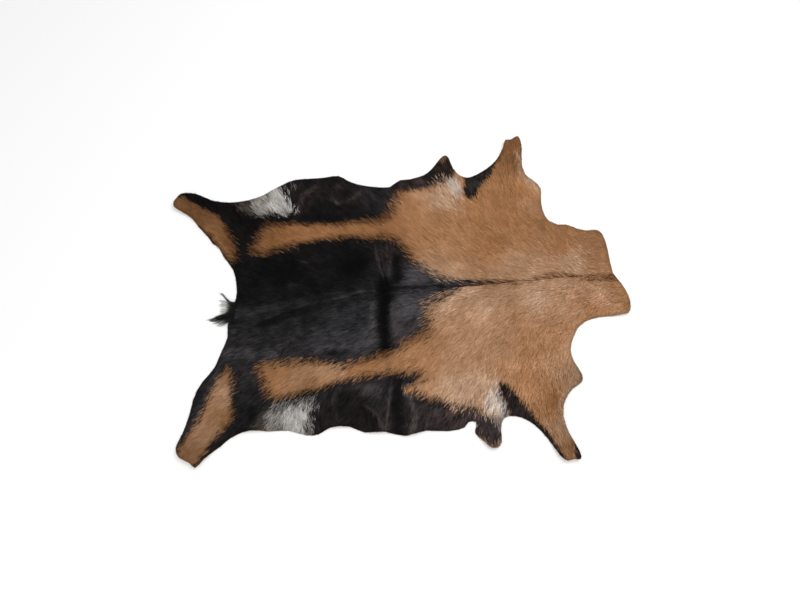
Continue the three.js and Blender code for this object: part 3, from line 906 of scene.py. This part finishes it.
def coat_colours(x, y, chance, sway):
    """Each hair's place on the scale of colour families, its brightness and whether it is a dark one.

    chance holds four numbers from 0 to 1 for each hair, and sway three that its clumps share.
    """
    dark = darkness(x, y)
    rows = np.array([[row["tan"], row["light"], row["black"], row["gloss"]] for row in TONES])
    tan, light, black, gloss = by_nearness(x, y, TONES, rows, TONE_SHARPNESS).T
    edge = 1 - np.abs(2 * dark - 1)
    is_dark = chance[:, 0] < dark + EDGE_CLUMPING * sway[:, 0] * edge
    brown = border_at(x, y, "brown") * edge
    family = np.where(is_dark, black + (EDGE_BROWN - black) * brown, tan - EDGE_TAN_BROWNER * brown)
    family = family + HAIR_FAMILY * (chance[:, 1] - 0.5)
    for row in FAMILY_DRIFTS:
        family = family + row["by"] * drift(x, y, row["size"], row["seed"])
    # The dark hair's brightness is mostly painted sheen and shade, and the tan's holds some painted shade
    bright = np.where(is_dark, gloss + (EDGE_LIGHT - gloss) * brown, light * (1 - EDGE_TAN_DULLER * edge))
    pale = np.zeros(len(x))
    solid_black = marks_at(x, y, [mark for mark in BLACK_MARKS if mark["share"] == 1])
    patch_drift = PATCH_RAGGED * drift(x, y, size=15, seed=23)
    patch_light = PATCH_LIGHT["least"] + PATCH_LIGHT["hair"] * chance[:, 0]
    patch_light = patch_light + PATCH_LIGHT["clump"] * sway[:, 2]
    for patch in PALE_PATCHES:
        ragged = inside(x, y, patch["at"]) + patch_drift + PATCH_CLUMPING * sway[:, 1]
        share = patch["share"] * smooth(0.5 + ragged / patch["soft"]) * (1 - solid_black)
        fresh = (chance[:, 2] < share) & (share > pale)
        family = np.where(fresh, patch["family"] + PATCH_FAMILY * (chance[:, 1] - 0.5), family)
        bright = np.where(fresh, patch["light"] * patch_light, bright)
        bright = np.where(is_dark & ~fresh & (pale == 0), bright * (1 + PATCH_BLACK_SHINE * share), bright)
        pale = np.where(fresh, share, pale)
    gain = light_chance(x, y, chance[:, 3], sway[:, 2], dull=is_dark & (pale == 0))
    paler = np.where(is_dark | (pale > 0), 0.0, PALER_WITH_LIGHT * (gain - 1))
    return family + paler, bright * gain, is_dark


def light_chance(x, y, chance, sway, dull):
    """How much brighter or darker than its place's tone each hair is: its own chance, and in the black hair
    also mottled painted sheen. dull marks the black hairs.
    """
    drifting = drift(x, y, size=30, seed=31) + DRIFT_LIGHT["fine"] * drift(x, y, size=11, seed=37)
    wander = 1 + np.where(dull, DRIFT_LIGHT["dull"], DRIFT_LIGHT["other"]) * drifting
    clumps = np.where(dull, CLUMP_LIGHT["dull"], CLUMP_LIGHT["other"]) * sway
    streak = 1 + clumps + np.where(dull, HAIR_LIGHT["dull"], HAIR_LIGHT["other"]) * (chance - 0.5)
    guard = np.where(chance > 1 - GUARD_HAIRS["share"], GUARD_HAIRS["bright"], 1.0)
    guard = guard * np.where(chance < GUARD_HAIRS["share"], GUARD_HAIRS["dark"], 1.0)
    return wander * np.maximum(streak, LEAST_LIGHT) * guard


def shine_at(x, y, is_dark):
    """How much the strands and folds brighten or shade the hair at each place."""
    shine = np.ones(np.shape(x))
    for row in STREAKS:
        away, _ = from_line(x, y, row["at"])
        share = smooth(SHINE_EDGE * (1 - away / row["half"]))
        shine = shine * (1 + np.where(is_dark, 1.0, TAN_SHINE) * row["gain"] * share)
    return shine


def blades(name, spine, across, width, bright, family):
    """One mesh of ridged, tapering blades, each a fine lock of hair.

    spine holds each blade's centre line in rows from root to tip, and across its level side direction.
    """
    count, steps = spine.shape[:2]
    taper = np.append(np.linspace(BLADE_ROOT_WIDTH, 1.0, steps - 1), 0.0)
    taper[:-1] *= 1 - BLADE_TAPER * np.linspace(0, 1, steps - 1) ** 3
    half = 0.5 * width[:, None] * taper[None, :]
    points = np.zeros((count, steps - 1, 3, 3))
    for k, side in enumerate((-1.0, 0.0, 1.0)):
        points[:, :, k] = spine[:, :-1] + side * half[:, :-1, None] * across[:, None, :]
    points[:, :, 1, 2] += BLADE_RIDGE * 2 * half[:, :-1]
    vertices = np.concatenate([points.reshape(count, -1, 3), spine[:, -1:]], 1)
    per_blade = vertices.shape[1]
    faces = []
    for row in range(steps - 2):
        for a in (row * 3, row * 3 + 1):
            faces += [(a, a + 1, a + 4), (a, a + 4, a + 3)]
    last, tip = (steps - 2) * 3, per_blade - 1
    faces += [(last, last + 1, tip), (last + 1, last + 2, tip)]
    triangles = (np.arange(count)[:, None, None] * per_blade + np.array(faces)[None]).reshape(-1, 3)
    shade = np.concatenate([np.repeat(bright[:, :-1], 3, axis=1), bright[:, -1:]], 1)
    beside = np.append(np.tile([-1.0, 0.0, 1.0], steps - 1), 0.0)
    tone = np.empty((count, per_blade, 2))
    tone[:, :, 0] = np.clip(family[:, None] + MAP_ASIDE * beside, *MAP_ENDS)
    tone[:, :, 1] = np.clip(shade / BRIGHTEST, DARKEST + MAP_ALONG * np.arange(per_blade), MAP_ENDS[1])
    return triangle_mesh(name, vertices.reshape(-1, 3) * MM, triangles, tone.reshape(-1, 2))


def triangle_mesh(name, vertices, triangles, tone):
    """An object made of these triangles. Its colour scales are an attribute and the bake's own map."""
    mesh = bpy.data.meshes.new(name)
    mesh.vertices.add(len(vertices))
    mesh.vertices.foreach_set("co", vertices.astype(np.float32).ravel())
    mesh.loops.add(triangles.size)
    mesh.loops.foreach_set("vertex_index", triangles.astype(np.int32).ravel())
    mesh.polygons.add(len(triangles))
    mesh.polygons.foreach_set("loop_start", np.arange(0, triangles.size, 3, dtype=np.int32))
    mesh.polygons.foreach_set("use_smooth", np.ones(len(triangles), bool))
    mesh.update(calc_edges=True)
    write_tone(mesh, tone)
    baked = mesh.uv_layers.new(name="OFBake", do_init=False)
    baked.uv.foreach_set("vector", tone[triangles.ravel()].astype(np.float32).ravel())
    piece = bpy.data.objects.new(name, mesh)
    bpy.context.scene.collection.objects.link(piece)
    return piece


def write_tone(mesh, tone):
    attribute = mesh.attributes.new("tone", "FLOAT_VECTOR", "POINT")
    full = np.concatenate([tone, np.zeros((len(tone), 1))], 1)
    attribute.data.foreach_set("vector", full.astype(np.float32).ravel())


def roots_on(hide, rng):
    """Hair roots all over the skin, evenly but not in rows."""
    xs = np.arange(hide.low[0], hide.high[0], ROOT_SPACING)
    ys = np.arange(hide.low[1], hide.high[1], ROOT_SPACING)
    x, y = (g.ravel() for g in np.meshgrid(xs, ys, indexing="ij"))
    x = x + rng.uniform(-ROOT_SCATTER, ROOT_SCATTER, len(x)) * ROOT_SPACING
    y = y + rng.uniform(-ROOT_SCATTER, ROOT_SCATTER, len(y)) * ROOT_SPACING
    keep = hide.from_rim.at(x, y) > ROOTS_FROM_RIM
    return x[keep], y[keep]


def grow_coat(hide):
    """Every hair of the coat, as blades take them, with its root and whether it is a dark one."""
    rng = np.random.default_rng(COAT_SEED)
    x, y = roots_on(hide, rng)
    count = len(x)
    way = flow_at(x, y)
    pull = np.zeros((count, 2))
    sway = np.zeros((count, 3))
    for clump in CLUMPS:
        middle, chance = clump_of(x, y, clump["size"], clump["seed"])
        way = turned(way, clump["turn"] * chance[:, 0])
        pull += clump["pull"] * (middle - np.stack([x, y], 1))
        sway += chance * clump["sway"]
    way = turned(way, rng.normal(0, HAIR_TURN, count))
    from_back = np.hypot(x - LONG_HAIR["middle"], y * LONG_HAIR["across"])
    short = smooth((from_back - LONG_HAIR["reach"]) / LONG_HAIR["fade"])
    length = HAIR_LENGTH * (1 - (1 - LEG_HAIR_SHARE) * short) * rng.uniform(*HAIR_LENGTHS, count)
    side = np.stack([-way[:, 1], way[:, 0]], 1)
    curl = rng.normal(0, HAIR_CURL, count)
    allowed = OVERHANG * rng.uniform(-1.0, 1.0, count)
    roots = np.stack([x, y], 1)
    for _ in range(TRIMS):
        tips = roots + way * length[:, None] + pull
        out = hide.from_rim.at(tips[:, 0], tips[:, 1]) < -allowed
        length = np.where(out, length * TRIM_LENGTH, length)
        pull = np.where(out[:, None], pull * TRIM_BEND, pull)
        curl = np.where(out, curl * TRIM_BEND, curl)
    depth = hide.coat_depth(x, y) * rng.uniform(*COAT_DEPTHS, count) * (1 + CLUMP_DEPTH * sway[:, 1])
    depth = depth * np.minimum(1, length / FULL_DEPTH_LENGTH)
    bow = 4 * (BLADE_STEPS * (1 - BLADE_STEPS))
    flat = (
        roots[:, None, :]
        + way[:, None, :] * (length[:, None] * BLADE_STEPS)[..., None]
        + pull[:, None, :] * (BLADE_STEPS**CLUMP_BEND)[None, :, None]
        + side[:, None, :] * (curl[:, None] * bow)[..., None]
    )
    ground = hide.skin_top(flat[..., 0], flat[..., 1])
    spine = np.concatenate([flat, (ground + depth[:, None] * BLADE_RISE - ROOT_SUNK)[..., None]], 2)
    chance = rng.uniform(0, 1, (count, 4))
    along, across = (rng.normal(0, by, (count, 1)) for by in COLOUR_ASTRAY)
    seen = flat + (way * along + side * across)[:, None, :]
    seen[..., 1] += SEEN_SHIFT * spine[..., 2]
    place = COLOUR_FROM[0] * seen[:, 1] + COLOUR_FROM[1] * seen[:, 2]
    family, bright, is_dark = coat_colours(place[:, 0], place[:, 1], chance, sway)
    bright = bright[:, None] * shine_at(seen[..., 0], seen[..., 1], is_dark[:, None])
    # Painted shade near the rim and at the roots
    near_rim = smooth(hide.from_rim.at(flat[..., 0], flat[..., 1]) / RIM_SHADE_WIDTH)
    bright = bright * (1 - RIM_SHADE + RIM_SHADE * near_rim)
    bright = bright * np.where(is_dark[:, None], DARK_ALONG, LIGHT_ALONG)
    tilt = rng.normal(0, BLADE_TILT, count)
    across = np.concatenate([side * np.cos(tilt)[:, None], np.sin(tilt)[:, None]], 1)
    width = BLADE_WIDTH * rng.uniform(*BLADE_WIDTHS, count)
    shape = {"spine": spine, "across": across, "width": width, "bright": bright, "family": family}
    return shape, roots, is_dark


def on_shoulders(x):
    return (x <= NECK_FROM) & (x > SHOULDERS_FROM)


def make_coat(hide, finish):
    """The coat in a few pieces, each of hairs of about one colour."""
    hairs, roots, is_dark = grow_coat(hide)
    pieces = []
    for part in COAT_PIECES:
        chosen = (is_dark == part["dark"]) & part["where"](roots[:, 0], roots[:, 1])
        piece = blades(part["name"], **{key: values[chosen] for key, values in hairs.items()})
        piece.data.materials.append(finish)
        pieces.append(piece)
    return pieces


def tail_hair(rng, group, y, length, sweep, high):
    """One hair of a lock, laid out behind the root strip: its centre line, brightness, family and width."""
    root_y = y + rng.normal(0, TAIL_CHANCE["root"])
    tip_y = y + sweep + rng.normal(0, TAIL_CHANCE["tip"]) + TAIL_CHANCE["spread"] * (root_y - y)
    reach = (length + TAIL_ROOT_BACK) * rng.uniform(*TAIL_CHANCE["length"])
    along = -reach * TAIL_STEPS + TAIL_ROOT_BACK - TAIL_ROOT["width"] / 2
    beyond = np.clip(-along / length, 0, 1)
    wave = rng.normal(0, TAIL_CHANCE["wave"]) * np.sin(np.pi * TAIL_STEPS)
    across = root_y + (tip_y - root_y) * beyond**TAIL_BEND + wave
    arch = np.minimum(TAIL_STEPS * TAIL_ARCH["quick"] + TAIL_ARCH["start"], 1) ** TAIL_ARCH["round"]
    rise = high * np.sin(np.pi * arch) + rng.uniform(*TAIL_CHANCE["height"])
    shade = "pale" if rng.uniform() < group["pale"] else "black"
    family = FAMILIES["white" if shade == "pale" else "black"]
    tip_light, root_light = rng.uniform(*TAIL_TIP_LIGHT[shade]), TAIL_ROOT_LIGHT[shade]
    turning = smooth((beyond - group["pales_at"]) / TAIL_PALES_OVER)
    bright = root_light + (tip_light - root_light) * turning
    width = TAIL_HAIR_WIDTH * rng.uniform(*TAIL_HAIR_WIDTHS)
    return np.stack([along, across, rise], 1), bright, family, width


def make_tail(hide, finish):
    """The tail's long loose hair, in pointed locks that fan out on the floor."""
    rng = np.random.default_rng(TAIL_SEED)
    hairs = []
    for group in TAIL_LOCKS:
        for share in np.linspace(0, 1, group["locks"]):
            y = group["from"] + (group["to"] - group["from"]) * share + rng.normal(0, LOCK_CHANCE["root"])
            length = np.interp(share, (0, 1), group["length"]) * rng.uniform(*LOCK_CHANCE["length"])
            sweep = np.interp(share, (0, 1), group["sweep"]) + rng.normal(0, LOCK_CHANCE["sweep"])
            high = TAIL_HEIGHT * rng.uniform(*LOCK_CHANCE["height"])
            hairs += [tail_hair(rng, group, y, length, sweep, high) for _ in range(TAIL_HAIRS)]
    laid, bright, family, width = (np.array(values) for values in zip(*hairs))
    turn = TAIL_ROOT["turn"]
    x = laid[..., 0] * math.cos(turn) - laid[..., 1] * math.sin(turn) + TAIL_ROOT["at"][0]
    y = laid[..., 0] * math.sin(turn) + laid[..., 1] * math.cos(turn) + TAIL_ROOT["at"][1]
    on_skin = smooth(0.5 + hide.from_rim.at(x, y) / TAIL_STEP_DOWN)
    ground = on_skin * (hide.skin_top(x, y) + TAIL_ON_COAT * hide.coat_depth(x, y))
    spine = np.stack([x, y, np.maximum(ground + laid[..., 2], TAIL_LEAST_HEIGHT)], 2)
    way = unit(spine[:, -1, :2] - spine[:, 0, :2])
    across = np.stack([-way[:, 1], way[:, 0], np.zeros(len(way))], 1)
    tail = blades("tail_hair", spine, across, width, bright, family)
    tail.data.materials.append(finish)
    return tail


def make_skin(hide, finishes):
    """The tanned skin: one flat cut piece on its folds, with its grain side up under the hair."""
    bm = bmesh.new()
    corners = [bm.verts.new((x * MM, y * MM, 0)) for x, y in hide.rim]
    bm.faces.new(corners)
    for axis in (0, 1):
        normal = Vector((1, 0, 0)) if axis == 0 else Vector((0, 1, 0))
        for place in np.arange(hide.low[axis] + SKIN_CELL, hide.high[axis], SKIN_CELL):
            whole = bm.verts[:] + bm.edges[:] + bm.faces[:]
            cut = normal * float(place) * MM
            bmesh.ops.bisect_plane(bm, geom=whole, plane_co=cut, plane_no=normal, dist=1e-6)
    bmesh.ops.triangulate(bm, faces=bm.faces[:])
    top = bmesh.ops.extrude_face_region(bm, geom=bm.faces[:])["geom"]
    raised = [part for part in top if isinstance(part, bmesh.types.BMVert)]
    bmesh.ops.translate(bm, vec=(0, 0, SKIN_THICK * MM), verts=raised)
    for vert in bm.verts:
        place = np.array([[vert.co.x], [vert.co.y]]) / MM
        vert.co.z += float(hide.under.at(*place)[0]) * MM
    bmesh.ops.recalc_face_normals(bm, faces=bm.faces[:])
    for face in bm.faces:
        face.smooth = True
        face.material_index = 0 if face.normal.z > 0.5 else 1
    mesh = bpy.data.meshes.new("skin")
    bm.to_mesh(mesh)
    bm.free()
    mesh.set_sharp_from_angle(angle=math.radians(SKIN_CREASE))
    places = np.empty(len(mesh.vertices) * 3)
    mesh.vertices.foreach_get("co", places)
    x, y, _ = places.reshape(-1, 3).T / MM
    family, bright, _ = coat_colours(x, y, np.full((len(x), 4), 0.5), np.zeros((len(x), 3)))
    write_tone(mesh, np.stack([family, np.clip(GRAIN_SHADE * bright / BRIGHTEST, 0, 1)], 1))
    skin = bpy.data.objects.new("skin", mesh)
    bpy.context.scene.collection.objects.link(skin)
    for finish in finishes:
        mesh.materials.append(finish)
    return skin


class Wire:
    """A material socket that can be multiplied in a plain expression."""

    def __init__(self, finish, socket):
        self.finish, self.socket = finish, socket

    def __mul__(self, other):
        return self.finish.node("ShaderNodeMath", {"operation": "MULTIPLY"}, self, other)[0]

    __rmul__ = __mul__


class Finish:
    """A material being built from nodes."""

    def __init__(self, name):
        self.material = bpy.data.materials.new(name)
        self.material.use_nodes = True
        self.nodes = self.material.node_tree.nodes
        self.shader = self.nodes["Principled BSDF"]

    def node(self, kind, settings, *values, **named):
        """A node of this kind: its own settings, a ramp's stops among them, and then its inputs."""
        made = self.nodes.new(kind)
        for key, value in settings.items():
            if key == "stops":
                self.set_stops(made.color_ramp, value)
            else:
                setattr(made, key, value)
        for key, value in [*enumerate(values), *named.items()]:
            self.feed(made.inputs[key], value)
        return [Wire(self, socket) for socket in made.outputs]

    def set_stops(self, ramp, stops):
        while len(ramp.elements) < len(stops):
            ramp.elements.new(0.5)
        for element, (place, colour) in zip(ramp.elements, stops):
            element.position = place
            element.color = (*colour, 1.0)

    def feed(self, socket, value):
        if isinstance(value, Wire):
            self.material.node_tree.links.new(value.socket, socket)
        else:
            socket.default_value = value

    def attribute(self, name):
        return self.node("ShaderNodeAttribute", {"attribute_name": name})[1]

    def parts(self, vector):
        return self.node("ShaderNodeSeparateXYZ", {}, vector)

    def mix(self, share, first, second):
        mixed = self.node("ShaderNodeMix", {"data_type": "RGBA"})[2]
        for key, value in ((0, share), (6, first), (7, second)):
            self.feed(mixed.socket.node.inputs[key], value)
        return mixed

    def wear(self, **inputs):
        for key, value in inputs.items():
            self.feed(self.shader.inputs[key.replace("_", " ")], value)


def coat_colour(finish):
    """The coat's colour from its two scales, family and brightness."""
    family, level, _ = finish.parts(finish.attribute("tone"))
    stops = [(FAMILIES[name], FAMILY_COLOURS[name]) for name in FAMILIES]
    colour = finish.node("ShaderNodeValToRGB", {"stops": stops}, family)[0]
    strength = level * BRIGHTEST
    grey = finish.node("ShaderNodeCombineXYZ", {}, strength, strength, strength)[0]
    lit = finish.node("ShaderNodeVectorMath", {"operation": "MULTIPLY"}, colour, grey)[0]
    return lit, family


def hair_finish():
    """Lying hair: the black is glossier than the tan."""
    finish = Finish("goat hair")
    colour, family = coat_colour(finish)
    dark_and_tan, glossy_and_dull = (0.1, 0.6), (0.42, 0.62)
    rough = finish.node("ShaderNodeMapRange", {}, family, *dark_and_tan, *glossy_and_dull)[0]
    finish.wear(Base_Color=colour, Roughness=rough, Specular_IOR_Level=0.06)
    return finish.material


def grain_finish():
    """The skin's hair side, in the colours of the hair that grows from it."""
    finish = Finish("grain side")
    colour, _ = coat_colour(finish)
    finish.wear(Base_Color=colour, Roughness=0.8, Specular_IOR_Level=0.08)
    return finish.material


def suede_finish():
    """The skin's underside and its cut edge."""
    finish = Finish("suede")
    place = finish.node("ShaderNodeTexCoord", {})[3]
    cloud = finish.node("ShaderNodeTexNoise", {}, Vector=place, Scale=38.0, Detail=4.0, Roughness=0.6)[0]
    suede = finish.mix(cloud, *SUEDE_COLOURS)
    nap = finish.node("ShaderNodeTexNoise", {}, Vector=place, Scale=900.0, Detail=3.0, Roughness=0.7)[0]
    bump = finish.node("ShaderNodeBump", {}, Strength=0.35, Distance=0.0006, Height=nap)[0]
    finish.wear(Base_Color=suede, Roughness=0.9, Normal=bump)
    return finish.material


def make_stage():
    finish = Finish("pale floor")
    finish.wear(Base_Color=FLOOR_COLOUR, Roughness=0.9, Specular_IOR_Level=0.1)
    bm = bmesh.new()
    bmesh.ops.create_grid(bm, x_segments=1, y_segments=1, size=FLOOR_SIZE * MM / 2)
    bmesh.ops.translate(bm, vec=(0, 0, -FLOOR_DROP * MM), verts=bm.verts[:])
    mesh = bpy.data.meshes.new("floor")
    bm.to_mesh(mesh)
    bm.free()
    floor = bpy.data.objects.new("floor", mesh)
    bpy.context.scene.collection.objects.link(floor)
    mesh.materials.append(finish.material)


def make_lights():
    world = bpy.data.worlds.new("studio")
    world.use_nodes = True
    sky = world.node_tree.nodes["Background"].inputs
    sky["Color"].default_value = (1, 1, 1, 1)
    sky["Strength"].default_value = SKY
    bpy.context.scene.world = world
    for row in LIGHTS:
        light = bpy.data.lights.new(row["name"], "AREA")
        light.size = row["size"] * MM
        light.energy = row["watts"]
        lamp = bpy.data.objects.new(row["name"], light)
        lamp.location = Vector(row["at"]) * MM
        lamp.rotation_euler = (-lamp.location).to_track_quat("-Z", "Y").to_euler()
        bpy.context.scene.collection.objects.link(lamp)
    bpy.context.scene.view_settings.view_transform = "Standard"


def make_camera():
    tilt, turn = math.radians(CAMERA["elevation"]), math.radians(CAMERA["azimuth"])
    back = Vector((math.sin(turn) * math.cos(tilt), -math.cos(turn) * math.cos(tilt), math.sin(tilt)))
    data = bpy.data.cameras.new("camera")
    data.lens, data.sensor_width = CAMERA["lens"], CAMERA["sensor"]
    camera = bpy.data.objects.new("camera", data)
    camera.location = (Vector(CAMERA["look"]) + back * CAMERA["distance"]) * MM
    camera.rotation_euler = (-back).to_track_quat("-Z", "Y").to_euler()
    bpy.context.scene.collection.objects.link(camera)
    bpy.context.scene.camera = camera


make_camera()
make_lights()
make_stage()

hide = Hide()
hair = hair_finish()
skin = make_skin(hide, [grain_finish(), suede_finish()])
coat = make_coat(hide, hair)
tail = make_tail(hide, hair)

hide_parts("hide")
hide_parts("tail_tuft")
for piece in [skin, tail, *coat]:
    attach(piece, "root")
